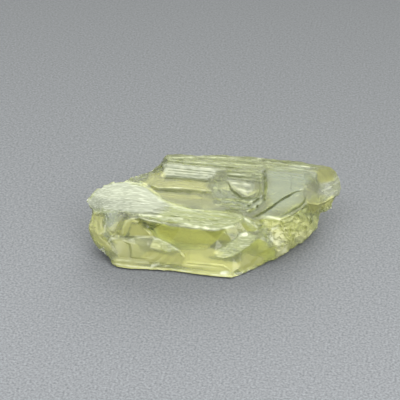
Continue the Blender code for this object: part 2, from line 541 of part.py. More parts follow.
def sheet(rim, creases, relief_lines):
    """One sheet of the skin: its creases first, then the repeated relief laid on them."""
    lines = [list(to_sight(crease)) for crease in creases]
    depth_at = depth_reader(*triangulated(rim, lines))
    for group in relief_lines:
        laid = settled(group, depth_at, segments_of(lines), rim)
        lines += laid
        singles = [line * 2 for line in laid if len(line) == 1]
        lines += singles
    return triangulated(rim, lines)


def crystal_mesh():
    """The closed skin, in metres, with its origin in the middle of its footprint."""
    rng = random.Random(SEED)
    rim = chipped_rim(rng)
    upper = sheet(rim, UPPER_CREASES.values(), [
        *(step(*values, rng) for values in UPPER_STEPS.values()),
        *(cleft(*values, rng) for values in UPPER_CLEFTS.values()),
        *(ripples(*values, rng) for values in UPPER_RIPPLES.values()),
        *(striae(*values, rng) for values in UPPER_STRIAE.values()),
        *(hackle(*values, rng) for values in UPPER_HACKLE.values()),
    ])
    lower = sheet(rim, [[*BASE, BASE[0]], *LOWER_CREASES.values()], [
        *(striae(*values, rng) for values in LOWER_STRIAE.values()),
        *(hackle(*values, rng) for values in LOWER_HACKLE.values()),
    ])
    points, faces, known = [], [], {}
    for (corners, triangles), flipped in ((upper, False), (lower, True)):
        indices = []
        for corner in corners:
            key = tuple(round(float(x), 5) for x in corner)
            if key not in known:
                known[key] = len(points)
                points.append(corner)
            indices.append(known[key])
        for triangle in triangles:
            face = [indices[i] for i in triangle]
            faces.append(face[::-1] if flipped else face)
    points = np.array(points) @ AXES
    middle = (points.min(0) + points.max(0)) / 2
    points -= (middle[0], middle[1], points[:, 2].min())
    mesh = bpy.data.meshes.new(NAME)
    mesh.from_pydata([tuple(p) for p in points * MM], [], faces)
    mesh.validate()
    return mesh


def spodumene():
    """Clear yellow-green hiddenite."""
    material = bpy.data.materials.new("hiddenite")
    material.use_nodes = True
    shader = material.node_tree.nodes["Principled BSDF"]
    shader.inputs["Base Color"].default_value = (0.72, 0.78, 0.40, 1.0)
    shader.inputs["Roughness"].default_value = 0.08
    shader.inputs["Metallic"].default_value = 0.0
    shader.inputs["IOR"].default_value = 1.66
    shader.inputs["Transmission Weight"].default_value = 0.9
    return material


def main():
    for old in list(bpy.data.objects):
        bpy.data.objects.remove(old)
    crystal = bpy.data.objects.new(NAME, crystal_mesh())
    bpy.context.scene.collection.objects.link(crystal)
    crystal.data.materials.append(spodumene())


main()
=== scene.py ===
"""A rough hiddenite crystal lying on a pale grey mat: its fine skin, its finish, light and view.

The crystal is one solid, seen through. Its skin is the CAD body's own, refined and worked over:
striae along the c axis, hackle on the broken ends, clefts, and chips along the sharp edges. Fresh
breaks and cleavage faces are clear, and the ridge, the shelves and the rough ends are frosted.
Its colour also holds painted light: painted highlights along the chips, painted shade in clefts
and hollows, a painted reflection on the cleavage face, and painted glowing areas inside it.
Lengths are in millimetres until the mesh is written.
"""

import math

import bmesh
import bpy
import numpy as np
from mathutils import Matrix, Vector, noise


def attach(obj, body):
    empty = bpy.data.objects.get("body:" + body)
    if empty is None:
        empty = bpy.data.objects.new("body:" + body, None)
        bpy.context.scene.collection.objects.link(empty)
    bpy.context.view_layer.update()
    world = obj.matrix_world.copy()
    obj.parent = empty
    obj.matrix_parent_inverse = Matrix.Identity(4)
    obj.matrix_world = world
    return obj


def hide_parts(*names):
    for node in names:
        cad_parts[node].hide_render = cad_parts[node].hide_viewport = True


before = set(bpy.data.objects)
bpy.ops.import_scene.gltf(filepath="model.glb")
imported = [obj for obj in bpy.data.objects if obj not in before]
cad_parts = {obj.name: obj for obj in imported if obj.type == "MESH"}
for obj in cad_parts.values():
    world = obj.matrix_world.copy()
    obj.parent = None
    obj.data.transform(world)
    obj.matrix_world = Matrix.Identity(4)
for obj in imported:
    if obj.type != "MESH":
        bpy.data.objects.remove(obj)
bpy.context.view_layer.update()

MM = 0.001
NODE = "hiddenite_crystal"
MERGE_GAP = 0.0005
TINY = 1e-12

# The view: its direction, how far off it stands, the side of its square frame in dots, the scale
# at the crystal, and the dot on which the outlines' zero point falls, from the top left corner.
# The same sight line looks on the upper skin, so the outlines are drawn across it.
SIGHT_AZIMUTH = math.radians(10)
SIGHT_ELEVATION = math.radians(35)
EYE_DISTANCE = 260.0
FRAME_DOTS = 400
DOTS_PER_MM = 7.94
ZERO_DOT = (214, 233)
MEASURED_FROM = np.array((0.4, -0.1, 0.0))          # the outlines' zero point, in the frame
PLACE_DIGITS = 1                                    # dots become places to 0.1 mm

# The fine skin: its longest edges in front, behind and on the flat base, the depth along the
# sight line where it counts as behind, and the angle in degrees at which an edge stays sharp.
FINE_EDGE, BACK_EDGE, BASE_EDGE = 0.19, 0.34, 1.5
BACK_DEPTH = -3.4
BASE_HEIGHT = 0.02
SHARP_ANGLE = 24

# Relief, as about half its height, and the depth of the clefts.
STRIA_RELIEF, HACKLE_RELIEF, CHIP_RELIEF = 0.007, 0.16, 0.05
CLEFT_DEPTH = 0.07

# Random forms, each as its size across, how many times longer it is along the c axis, and its
# seed: how soft edges wander, how lines break up, fine and broad striae, and the lumps of hackle.
EDGE_WANDER = (0.9, 2.5, 1)
LINE_BREAKS = (0.7, 1, 6)
FINE_STRIAE, BROAD_STRIAE = (0.34, 6, 2), (0.65, 5, 3)
HACKLE_LUMPS = (0.45, 1, 5)
HACKLE_FLATS = (0.75, 4)                            # size and seed
BROAD_SHARE, LUMP_SHARE = 0.8, 0.5                  # of broad striae to fine, of lumps to flats
SEED_STEP = (7.31, 3.17, 5.71)                      # how far one seed's noise is from the next's
NOISE_GAIN = 1.6                                    # brings the noise to about -1 to 1
TILT_SPREAD = 97.0                                  # parts the tilts of neighbouring flats

WANDER_SHARE = 0.35                                 # of a soft edge's width
LINE_STRENGTH, LINE_BREAKING = 0.75, 0.6            # a line's mean strength, and how it varies
LINE_REACH = 1.5                                    # in half widths, where a line has faded out

# Faces that look along the sight line take the outlines' finishes, and turned ones fade out of
# them this fast. Of those behind, the ones past the prism face are striated, the rest hackly.
FACING_GAIN = 6
PRISM_FACE = 6.8
BACK_HACKLE = 0.8

# Frosted faces are smoothed where they are both pale and frosted, above this product.
EASED_ABOVE, EASE_GAIN = 0.85, 10
EASE, EASE_TURNS = 0.9, 10


def sight_axes():
    """Unit vectors across the sight line, rightwards and upwards, and back to the viewer."""
    sin_a, cos_a = math.sin(SIGHT_AZIMUTH), math.cos(SIGHT_AZIMUTH)
    sin_e, cos_e = math.sin(SIGHT_ELEVATION), math.cos(SIGHT_ELEVATION)
    return np.array([(cos_a, sin_a, 0.0), (-sin_e * sin_a, sin_e * cos_a, cos_e),
                     (sin_a * cos_e, -cos_a * cos_e, sin_e)])


def eye_place():
    """Where the eye stands, from the outlines' zero point."""
    right, up, back = sight_axes()
    across, down = FRAME_DOTS / 2 - ZERO_DOT[0], FRAME_DOTS / 2 - ZERO_DOT[1]
    return (across * right - down * up) / DOTS_PER_MM + EYE_DISTANCE * back


def seen_at(height, *dots):
    """The places at one height that these dots of the view's frame show."""
    right, up, back = sight_axes()
    eye = eye_place()
    spread = (np.array(dots) - FRAME_DOTS / 2) / DOTS_PER_MM / EYE_DISTANCE
    rays = spread[:, :1] * right - spread[:, 1:] * up - back
    return np.round(eye + rays * ((height - eye[2]) / rays[:, 2:]), PLACE_DIGITS)


# Outlines that two finishes share: a pane left of the middle of the front, brightened with painted
# light, the top of the right shelf, and the band behind the shell hollow.
LEFT_PANE = seen_at(3.2, (128, 237), (131, 224), (140, 223), (156, 235), (148, 239))
SHELF_TOP = [(1.3, -7.2, 2.3), (3.2, -5.6, 3.1), (4.6, -4.1, 3.7), (6.1, -4.5, 3.6),
             (5.4, -5.7, 3.0), (3.4, -7.3, 2.1), (1.7, -7.6, 1.9)]
HOLLOW_RIM = seen_at(5.1, (226, 170), (262, 168), (262, 180), (228, 180))

# What lies where on the upper skin, region by region. An area is its strength, the width of its
# soft edge and its outline, and a line is its strength, its half width and its path. Their points
# are in crystal coordinates, or are dots of the view's frame at one height. Bright lines are
# chipped edges, raised as relief, with painted highlights along them, and shaded ones are clefts,
# cut in, with painted shade in them and at the feet of steps. The glowing areas are painted light,
# where light gathers inside the crystal, and the sheen is a painted reflection of the room.
AREAS = ("frost", "striated", "hackle", "pale", "cool", "olive", "glow", "stain")
LINES = ("bright", "shade")
REGIONS = {
    "left lobe": {
        "frost": [
            (0.95, 0.5, [(-16.0, -2.4, 4.0), (-15.4, -0.4, 4.9), (-14.1, 0.8, 5.4),
                         (-11.7, 1.4, 5.7), (-9.5, 0.7, 5.9), (-8.1, -0.1, 5.8), (-6.4, -1.8, 5.7),
                         (-5.6, -3.0, 5.4), (-7.1, -4.0, 5.2), (-9.3, -4.4, 5.0),
                         (-11.4, -3.9, 4.7), (-14.2, -3.2, 4.0)]),
            (0.7, 0.3, seen_at(5.6, (139, 180), (149, 187), (158, 194), (167, 202), (186, 208),
                               (198, 210), (197, 213), (184, 212), (163, 207), (151, 197),
                               (140, 187))),
        ],
        "pale": [
            (1.0, 0.8, [(-16.0, -2.4, 4.0), (-14.9, 0.0, 5.1), (-11.7, 1.6, 5.7), (-8.1, 0.2, 5.8),
                        (-5.0, -2.8, 5.4), (-6.5, -4.4, 5.0), (-11.4, -3.9, 4.7),
                        (-14.4, -3.2, 4.0)]),
        ],
        "shade": [
            (0.6, 0.2, seen_at(5.6, (139, 182), (147, 187), (155, 194), (165, 202), (185, 208),
                               (200, 211))),
        ],
    },
    "left end": {
        "frost": [
            (0.9, 0.3, seen_at(4.0, (91, 207), (112, 207), (118, 213), (94, 213))),
            (0.12, 0.8, seen_at(3.8, (105, 212), (120, 212), (118, 230), (107, 233))),
        ],
        "hackle": [
            (0.5, 0.4, [(-15.0, -5.2, 2.5), (-14.8, -3.2, 3.5), (-12.8, -5.0, 3.5),
                        (-13.4, -6.4, 2.5)]),
        ],
        "cool": [
            (0.6, 0.6, seen_at(4.0, (105, 212), (112, 208), (120, 212), (118, 221), (112, 230),
                               (106, 226))),
        ],
        "olive": [
            (0.5, 0.4, [(-11.3, -4.0, 4.7), (-9.6, -5.2, 4.8), (-10.4, -6.3, 3.5),
                        (-11.4, -6.3, 2.7), (-11.2, -5.1, 3.9)]),
            (0.3, 0.6, [(-15.1, -3.0, 3.5), (-13.2, -3.8, 4.2), (-12.9, -6.0, 3.0),
                        (-14.2, -6.2, 1.9), (-15.0, -4.6, 2.7)]),
        ],
        "glow": [
            (0.7, 0.9, seen_at(2.8, (89, 214), (102, 214), (106, 236), (112, 250), (98, 246),
                               (88, 230))),
            (0.8, 0.6, seen_at(3.9, (118, 236), (124, 220), (134, 217), (150, 222), (146, 227),
                               (132, 223), (126, 236))),
            (0.5, 0.6, seen_at(3.2, (108, 227), (118, 220), (125, 215), (123, 228), (116, 240),
                               (108, 240))),
        ],
        "bright": [
            (0.5, 0.13, [(-9.5, -5.4, 4.8), (-10.0, -5.7, 4.5), (-10.3, -6.1, 3.9),
                         (-10.4, -6.4, 3.2)]),
            (0.6, 0.14, [(-12.7, -4.9, 3.6), (-12.8, -6.1, 2.9), (-11.7, -6.5, 2.4)]),
        ],
        "shade": [
            (0.9, 0.18, seen_at(2.6, (112, 243), (115, 245))),
        ],
    },
    "ridge": {
        "frost": [
            (0.6, 0.7, [(-7.0, -1.4, 5.7), (-4.3, -2.6, 5.5), (0.9, -2.6, 5.3), (4.0, -2.8, 5.0),
                        (3.6, -3.9, 4.6), (1.6, -5.1, 4.5), (-0.1, -5.5, 4.6), (-4.2, -5.5, 4.8),
                        (-8.4, -5.2, 4.9), (-9.4, -4.4, 5.0)]),
        ],
        "striated": [
            (0.35, 0.4, [(-16.0, -2.4, 4.0), (-14.9, 0.0, 5.1), (-11.7, 1.4, 5.7),
                         (-8.1, 0.0, 5.8), (-4.3, -2.5, 5.5), (0.9, -2.5, 5.3), (4.2, -2.7, 5.0),
                         (2.2, -5.2, 4.5), (-0.1, -6.1, 4.6), (-8.4, -5.3, 4.9),
                         (-11.4, -4.0, 4.7), (-14.2, -3.2, 4.0)]),
        ],
        "bright": [
            (0.6, 0.11, [(-9.5, -5.4, 4.8), (-8.4, -5.2, 4.9), (-7.1, -5.5, 4.9),
                         (-5.4, -5.7, 4.8)]),
            (0.6, 0.14, [(-5.4, -5.6, 4.8), (-4.2, -5.7, 4.8), (-3.0, -5.6, 4.8),
                         (-1.3, -5.6, 4.7), (-0.1, -5.5, 4.6), (1.2, -5.4, 4.5), (2.2, -4.9, 4.5),
                         (3.1, -4.3, 4.5)]),
            (0.4, 0.14, [(-6.6, -1.8, 5.7), (-5.8, -2.2, 5.6), (-4.3, -2.7, 5.5),
                         (-2.5, -3.1, 5.4), (-0.9, -3.0, 5.4)]),
            (0.7, 0.12, seen_at(4.6, (185, 224), (195, 226), (205, 227))),
            (0.7, 0.12, seen_at(4.6, (140, 215), (160, 216), (182, 219))),
        ],
        "shade": [
            (0.9, 0.3, [(-8.4, -5.75, 4.6), (-7.5, -6.1, 4.6), (-6.4, -6.7, 4.6)]),
        ],
    },
    "front": {
        "frost": [
            (0.65, 0.4, [(-6.6, -6.1, 2.9), (-5.7, -6.2, 2.8), (-3.2, -7.3, 2.3),
                         (-4.6, -7.7, 2.0), (-6.6, -7.2, 2.2)]),
        ],
        "hackle": [
            (0.5, 0.3, [(-7.2, -6.0, 2.9), (-5.7, -6.2, 2.8), (-3.2, -7.3, 2.3), (-4.6, -7.7, 2.0),
                        (-7.0, -7.2, 2.2)]),
        ],
        "olive": [
            (1.0, 0.6, [(-6.2, -5.7, 4.5), (-0.1, -5.6, 4.6), (2.4, -4.9, 4.4), (3.6, -4.0, 4.4),
                        (4.4, -4.0, 3.8), (2.6, -5.8, 2.9), (1.2, -6.8, 2.7), (-1.0, -6.9, 2.9),
                        (-3.6, -6.8, 3.1), (-6.0, -6.2, 3.4)]),
        ],
        "glow": [
            (1.0, 1.5, [(-3.0, -6.5, 1.4), (-0.7, -6.1, 1.4), (1.2, -6.4, 1.4), (3.8, -7.4, 1.4),
                        (4.5, -7.7, 1.4), (3.9, -9.3, 1.4), (0.7, -9.6, 1.4), (-2.5, -9.4, 1.4)]),
            (0.7, 0.7, [(-11.0, -8.6, 1.1), (-6.0, -8.3, 1.1), (-6.0, -8.7, 0.5),
                        (-11.0, -9.1, 0.5)]),
            (0.9, 0.6, LEFT_PANE),
            (0.35, 0.9, seen_at(1.8, (113, 238), (150, 238), (180, 254), (172, 264), (118, 260))),
            (0.85, 0.9, seen_at(1.4, (146, 249), (160, 251), (176, 252), (186, 256), (186, 266),
                                (150, 264), (138, 258))),
            (0.6, 0.6, seen_at(2.4, (196, 246), (208, 245), (210, 256), (200, 259))),
            (0.8, 0.6, seen_at(2.2, (180, 249), (200, 249), (215, 250), (217, 258), (180, 262))),
            (0.2, 0.8, seen_at(2.4, (146, 238), (160, 238), (180, 252), (160, 252))),
            (0.62, 0.8, seen_at(2.5, (112, 238), (124, 238), (143, 247), (156, 258), (150, 264),
                                (116, 262))),
        ],
        "stain": [
            (0.35, 0.8, seen_at(2.4, (109, 237), (131, 238), (136, 252), (118, 257))),
            (0.4, 0.8, seen_at(1.4, (104, 244), (120, 241), (150, 246), (184, 256), (184, 268),
                               (118, 262), (108, 258))),
            (0.3, 0.6, LEFT_PANE),
        ],
        "bright": [
            (0.5, 0.14, [(-11.2, -6.3, 2.6), (-8.8, -6.2, 2.8), (-7.0, -6.0, 2.9),
                         (-5.7, -6.3, 2.8), (-4.3, -6.8, 2.6), (-3.2, -7.4, 2.3)]),
            (0.7, 0.12, [(-11.7, -6.5, 2.4), (-10.5, -6.6, 2.4), (-8.7, -7.0, 2.3)]),
            (0.7, 0.12, seen_at(3.2, (113, 239), (130, 238), (148, 237))),
        ],
        "shade": [
            (0.5, 0.25, seen_at(1.8, (130, 243), (130, 258))),
        ],
    },
    "foot of the front": {
        "glow": [
            (0.8, 0.4, [(-11.3, -8.7, 0.4), (-6.5, -8.7, 0.4), (-1.5, -8.5, 0.4), (2.8, -8.5, 0.4),
                        (4.7, -8.6, 0.4), (4.8, -9.6, 0.4), (3.1, -9.9, 0.4), (-1.3, -9.9, 0.4),
                        (-6.2, -10.0, 0.4), (-11.0, -10.1, 0.4)]),
        ],
        "bright": [
            (0.6, 0.1, [(-11.0, -9.0, 0.4), (-8.9, -9.2, 0.4), (-6.4, -9.0, 0.3),
                        (-3.3, -8.8, 0.3), (2.5, -9.0, 0.3), (3.8, -8.9, 0.3), (5.0, -7.8, 0.4)]),
            (1.0, 0.22, seen_at(0.6, (222, 273), (228, 273))),
            (0.9, 0.18, seen_at(1.4, (152, 266), (158, 264))),
            (0.6, 0.12, seen_at(1.4, (116, 260), (130, 261), (148, 263))),
        ],
    },
    "right shelf": {
        "frost": [
            (0.6, 0.4, SHELF_TOP),
        ],
        "hackle": [
            (0.25, 0.3, SHELF_TOP),
        ],
        "olive": [
            (0.7, 0.8, [(4.0, -7.0, 2.3), (6.2, -5.2, 3.2), (7.2, -4.6, 3.4), (8.2, -5.0, 2.2),
                        (7.4, -5.4, 0.8), (5.0, -7.6, 0.6)]),
            (0.8, 0.5, seen_at(4.2, (226, 227), (235, 222), (245, 222), (250, 230), (241, 235),
                               (228, 238))),
        ],
        "glow": [
            (0.7, 1.0, seen_at(1.8, (236, 262), (246, 252), (262, 255), (274, 257), (262, 267),
                               (240, 275))),
        ],
        "bright": [
            (1.0, 0.22, seen_at(3.4, (240, 235), (246, 234))),
        ],
        "shade": [
            (0.6, 0.2, seen_at(4.4, (226, 232), (236, 236), (240, 231))),
        ],
    },
    "right break": {
        "frost": [
            (0.9, 1.0, seen_at(3.4, (266, 231), (276, 229), (284, 232), (288, 242), (281, 247),
                               (272, 240))),
            (0.9, 0.9, seen_at(1.8, (277, 246), (289, 243), (288, 252), (280, 257), (276, 254))),
            (0.85, 1.0, seen_at(2.4, (296, 235), (306, 230), (312, 231), (304, 241), (296, 244))),
            (0.5, 0.5, seen_at(4.5, (243, 219), (252, 220), (262, 226), (258, 230), (248, 226))),
            (0.4, 1.2, seen_at(3.2, (262, 216), (318, 213), (322, 226), (305, 242), (288, 252),
                               (268, 246), (258, 228))),
        ],
        "hackle": [
            (0.5, 0.5, [(5.2, -2.9, 4.8), (8.6, -2.4, 4.7), (10.8, -0.1, 4.9), (12.8, 2.6, 3.6),
                        (12.8, 1.6, 1.0), (11.3, -0.9, 0.2), (8.9, -4.2, 0.2), (8.1, -5.0, 2.6),
                        (6.2, -4.3, 3.7)]),
        ],
        "pale": [
            (0.9, 0.8, [(6.4, -2.0, 3.4), (9.4, -2.2, 3.4), (10.2, -4.9, 3.4), (9.2, -6.6, 3.4),
                        (7.6, -5.0, 3.4)]),
            (0.9, 0.8, [(8.3, -3.2, 1.8), (10.2, -2.4, 1.8), (10.2, -4.9, 1.8), (8.4, -6.4, 1.8)]),
            (0.8, 0.8, [(10.2, -1.7, 2.4), (12.9, -0.1, 2.4), (12.0, -3.4, 2.4),
                        (10.6, -4.2, 2.4)]),
        ],
        "olive": [
            (0.5, 0.6, [(5.2, -3.0, 4.7), (7.4, -2.8, 4.6), (6.9, -3.6, 4.0), (5.4, -3.9, 4.0)]),
        ],
        "glow": [
            (0.45, 0.9, seen_at(2.0, (272, 240), (290, 236), (300, 242), (290, 254), (276, 258),
                                (270, 250))),
            (0.45, 1.2, seen_at(3.0, (258, 218), (300, 218), (318, 222), (312, 238), (290, 246),
                                (272, 240))),
        ],
        "bright": [
            (0.7, 0.14, [(4.4, -3.0, 4.9), (5.2, -3.3, 4.6), (6.0, -3.8, 4.3)]),
            (0.9, 0.16, seen_at(3.8, (272, 229), (277, 226))),
            (0.7, 0.12, seen_at(4.5, (249, 221), (255, 223))),
            (0.4, 0.5, seen_at(2.6, (270, 236), (281, 244), (284, 252))),
        ],
        "shade": [
            (0.6, 0.2, seen_at(4.2, (240, 214), (243, 222))),
            (0.6, 0.3, seen_at(3.8, (262, 231), (266, 238), (272, 246))),
        ],
    },
    "clear cleavage face": {
        # Painted reflection: the bluish grey sheen stands for the room mirrored in this face.
        "cool": [
            (0.8, 1.3, seen_at(5.1, (268, 169), (290, 169), (306, 171), (314, 176), (306, 184),
                               (301, 200), (290, 206), (276, 213), (263, 218), (270, 206),
                               (269, 190))),
        ],
        "bright": [
            (0.7, 0.14, seen_at(5.0, (268, 217), (280, 219))),
            (0.5, 0.14, seen_at(4.9, (300, 190), (306, 186))),
        ],
        "shade": [
            (0.5, 0.14, seen_at(4.9, (291, 178), (291, 188))),
            (0.8, 0.16, seen_at(5.0, (280, 217), (291, 211), (300, 205))),
            (1.0, 0.16, [(5.9, -2.5, 5.1), (6.5, -1.6, 5.1), (7.1, -0.6, 5.1), (8.2, 1.3, 5.1),
                         (9.5, 3.1, 5.1)]),
            (0.8, 0.14, [(8.9, -1.6, 5.0), (9.7, -0.6, 5.0), (10.7, 0.7, 5.0), (11.1, 1.9, 5.0)]),
            (0.9, 0.3, [(5.35, 6.3, 5.6), (5.6, 4.8, 5.3), (5.9, 3.1, 5.1), (5.9, 1.6, 5.0)]),
        ],
    },
    "shell hollow": {
        "frost": [
            (0.45, 0.5, [(0.7, 5.0, 5.1), (4.1, 5.0, 5.0), (4.7, 3.6, 4.7), (3.7, 2.6, 4.4),
                         (1.8, 3.7, 4.8)]),
            (0.4, 0.4, HOLLOW_RIM),
        ],
        "striated": [
            (1.0, 0.4, HOLLOW_RIM),
        ],
        "pale": [
            (0.9, 0.5, [(0.6, 5.1, 5.2), (4.1, 5.1, 5.1), (5.0, 3.6, 4.7), (3.7, 2.5, 4.4),
                        (1.6, 3.7, 4.8)]),
        ],
        "cool": [
            (0.5, 0.8, seen_at(4.8, (212, 184), (224, 181), (231, 190), (244, 198), (262, 198),
                               (262, 204), (246, 209), (226, 205), (212, 196))),
        ],
        "bright": [
            (0.5, 0.16, [(1.4, 3.9, 4.8), (2.8, 3.1, 4.6), (3.6, 2.6, 4.5), (4.4, 2.8, 4.5)]),
            (0.4, 0.14, seen_at(4.6, (229, 181), (233, 186), (240, 190), (250, 191))),
            (0.4, 0.13, [(0.3, -0.6, 4.8), (2.3, -0.4, 4.8), (3.6, -0.7, 4.8)]),
            (0.4, 0.13, seen_at(4.75, (220, 201), (235, 202))),
            (0.7, 0.14, seen_at(4.7, (254, 207), (262, 201))),
            (0.6, 0.13, seen_at(4.9, (246, 206), (252, 201))),
            (0.6, 0.13, seen_at(5.2, (230, 174), (250, 175))),
            (0.7, 0.14, seen_at(4.6, (238, 189), (245, 191), (252, 191))),
            (0.5, 0.12, seen_at(4.6, (232, 183), (240, 184), (250, 184))),
        ],
        "shade": [
            (0.9, 0.17, seen_at(4.76, (214, 202), (226, 203), (238, 205), (246, 207))),
            (0.9, 0.17, seen_at(4.8, (226, 208), (238, 208), (250, 211))),
            (0.8, 0.17, seen_at(4.8, (209, 184), (213, 192), (220, 199))),
            (0.7, 0.16, seen_at(4.8, (216, 182), (220, 190), (227, 197))),
            (0.7, 0.14, seen_at(5.2, (228, 172), (245, 173), (260, 172))),
            (0.7, 0.14, seen_at(5.1, (228, 176), (245, 177), (258, 177))),
            (0.7, 0.2, seen_at(4.6, (247, 182), (252, 184), (252, 189), (247, 190))),
            (0.9, 0.16, seen_at(4.74, (245, 208), (252, 203), (258, 199), (262, 196))),
            (1.0, 0.24, [(4.5, -1.5, 4.8), (5.3, -0.7, 4.8), (5.8, 0.5, 4.8), (6.1, 1.5, 4.8)]),
            (0.7, 0.18, [(1.6, 3.3, 4.6), (2.5, 2.4, 4.6), (3.3, 1.7, 4.6), (4.1, 1.7, 4.6),
                         (4.9, 2.2, 4.6)]),
            (0.8, 0.16, [(-0.1, 0.6, 4.7), (1.6, 0.9, 4.7), (3.1, 0.9, 4.7), (4.6, 0.3, 4.7)]),
            (0.7, 0.14, [(1.0, -0.3, 4.7), (3.0, 0.0, 4.7), (4.0, -0.5, 4.7)]),
            (0.9, 0.16, [(1.9, -1.05, 4.8), (3.4, -0.9, 4.8), (4.2, -1.1, 4.8)]),
            (0.4, 0.07, seen_at(5.8, (215, 168), (240, 170), (262, 171))),
            (0.6, 0.1, seen_at(4.8, (212, 176), (219, 186), (232, 194), (247, 199), (258, 198))),
            (0.6, 0.1, seen_at(4.8, (210, 184), (216, 194), (228, 202), (244, 207), (257, 206))),
            (0.7, 0.1, seen_at(4.8, (226, 182), (232, 188), (240, 193), (250, 197))),
            (0.5, 0.09, seen_at(4.8, (208, 192), (215, 203), (230, 209), (246, 212))),
            (0.6, 0.1, seen_at(4.8, (256, 176), (260, 184), (259, 192), (254, 198))),
            (0.5, 0.08, seen_at(4.9, (205, 177), (213, 174), (222, 173))),
        ],
    },
    "stepped flats": {
        "frost": [
            (0.92, 0.4, [(-7.4, 5.3, 6.1), (-2.1, 5.3, 6.1), (-0.4, 5.2, 5.9), (-1.5, 4.2, 5.1),
                         (-7.3, 4.0, 5.1)]),
        ],
        "striated": [
            (0.7, 0.6, [(-8.2, 3.8, 5.0), (-1.5, 4.0, 5.1), (0.3, -0.2, 4.7), (-1.0, -2.0, 4.9),
                        (-5.8, -0.7, 4.8), (-8.2, 1.6, 4.8)]),
        ],
        "hackle": [
            (0.6, 0.3, [(-7.4, 5.4, 6.0), (-7.4, 4.0, 5.1), (-9.4, 3.9, 4.9), (-9.6, 4.9, 4.8),
                        (-8.0, 6.0, 5.6)]),
        ],
        "pale": [
            (0.9, 0.5, [(-7.6, 5.6, 6.1), (-0.2, 5.6, 6.0), (-1.2, 4.0, 5.1), (-7.5, 3.8, 5.1)]),
        ],
        "olive": [
            (0.8, 0.6, [(-8.0, 1.3, 4.8), (-1.2, 1.6, 4.8), (-0.6, 0.6, 4.8), (-6.9, 0.4, 4.8)]),
            (0.6, 0.6, seen_at(5.0, (143, 184), (150, 174), (165, 171), (166, 180), (205, 182),
                               (206, 190), (158, 192))),
        ],
        "glow": [
            (0.4, 0.8, [(-8.0, 3.4, 5.0), (-2.2, 3.7, 5.1), (-1.4, 2.4, 5.0), (-8.0, 2.2, 5.0)]),
            (0.5, 0.8, seen_at(5.0, (150, 190), (158, 179), (205, 180), (212, 192))),
            (0.25, 1.0, seen_at(4.8, (158, 192), (212, 195), (220, 207), (175, 206))),
            (0.45, 0.5, seen_at(4.8, (151, 191), (195, 194), (206, 199), (166, 199))),
            (0.45, 0.6, seen_at(5.0, (143, 184), (150, 174), (163, 170), (165, 181))),
        ],
        "stain": [
            (0.2, 0.6, seen_at(4.9, (150, 181), (212, 183), (214, 196), (205, 206), (170, 200),
                               (155, 190))),
        ],
        "bright": [
            (0.6, 0.13, [(-8.5, 1.9, 5.0), (-7.4, 1.5, 5.0), (-4.3, 1.8, 5.1), (-0.7, 1.9, 5.0)]),
            (0.5, 0.16, [(-7.0, 5.2, 6.1), (-3.7, 5.2, 6.1), (-0.8, 5.3, 6.0), (0.6, 5.5, 6.0)]),
            (0.4, 0.55, seen_at(5.6, (168, 171), (190, 172), (213, 175))),
        ],
        "shade": [
            (0.7, 0.16, [(-7.2, 3.9, 5.1), (-5.7, 4.2, 5.1), (-3.8, 4.2, 5.1), (-1.5, 4.1, 5.1)]),
            (0.7, 0.35, [(-7.4, 1.2, 4.8), (-4.3, 1.3, 4.8), (-0.8, 1.4, 4.8)]),
        ],
    },
    "back band": {
        "frost": [
            (0.3, 0.6, [(-7.2, 7.0, 6.4), (0.0, 8.0, 6.6), (12.0, 8.6, 5.9), (9.7, 7.5, 5.8),
                        (4.2, 5.9, 5.8), (-7.0, 5.2, 6.1)]),
        ],
        "striated": [
            (1.0, 0.4, [(-7.6, 7.0, 6.3), (0.0, 8.2, 6.6), (12.5, 8.9, 5.9), (9.7, 7.5, 5.8),
                        (5.0, 6.3, 5.6), (5.2, 4.7, 5.1), (0.4, 4.9, 5.2), (-1.5, 4.1, 5.1),
                        (-7.4, 4.0, 5.1)]),
        ],
        "bright": [
            (0.6, 0.14, seen_at(5.6, (257, 159), (262, 158))),
            (0.5, 0.07, seen_at(6.3, (168, 158), (200, 157), (240, 158))),
            (0.5, 0.07, seen_at(6.0, (252, 160), (285, 164), (318, 168))),
            (0.4, 0.07, seen_at(6.0, (186, 162), (230, 164), (262, 166))),
            (0.4, 0.07, seen_at(5.8, (262, 164), (290, 168), (312, 171))),
        ],
        "shade": [
            (0.4, 0.07, seen_at(6.2, (175, 160), (215, 160), (250, 162))),
        ],
    },
    "tip": {
        "frost": [
            (0.3, 0.8, seen_at(4.2, (321, 181), (335, 175), (341, 186), (339, 196), (328, 204),
                               (319, 196))),
        ],
        "pale": [
            (1.0, 0.8, [(13.0, 10.2, 4.2), (15.4, 7.3, 4.2), (15.2, 4.6, 4.2), (12.0, 4.4, 4.2)]),
        ],
        "olive": [
            (1.0, 0.5, [(11.9, 7.8, 5.7), (13.3, 8.9, 5.5), (14.4, 8.4, 4.8), (13.8, 7.2, 4.7),
                        (12.0, 6.2, 5.3)]),
            (0.7, 0.6, [(11.0, 5.0, 5.4), (12.7, 6.4, 4.9), (12.9, 4.6, 4.5), (12.4, 2.6, 3.8),
                        (11.4, 1.8, 4.9), (10.9, 3.4, 5.2)]),
        ],
        "glow": [
            (0.25, 0.9, seen_at(5.0, (318, 166), (332, 170), (334, 180), (321, 184))),
            (0.6, 0.6, seen_at(3.4, (306, 202), (320, 203), (333, 196), (335, 203), (328, 209),
                               (318, 213), (307, 211))),
        ],
        "stain": [
            (0.7, 0.8, seen_at(4.2, (306, 199), (316, 195), (325, 196), (322, 208), (314, 214),
                               (306, 212))),
            (1.0, 0.6, seen_at(5.2, (317, 167), (330, 167), (336, 172), (335, 181), (328, 184),
                               (318, 181))),
        ],
        "bright": [
            (0.3, 0.09, seen_at(4.4, (322, 191), (330, 187), (338, 182))),
            (0.3, 0.09, seen_at(4.4, (320, 197), (328, 194), (337, 190))),
            (0.25, 0.09, seen_at(4.4, (324, 184), (331, 181), (337, 177))),
        ],
        "shade": [
            (0.8, 0.18, seen_at(5.0, (313, 178), (306, 185), (304, 194), (308, 204))),
        ],
    },
}
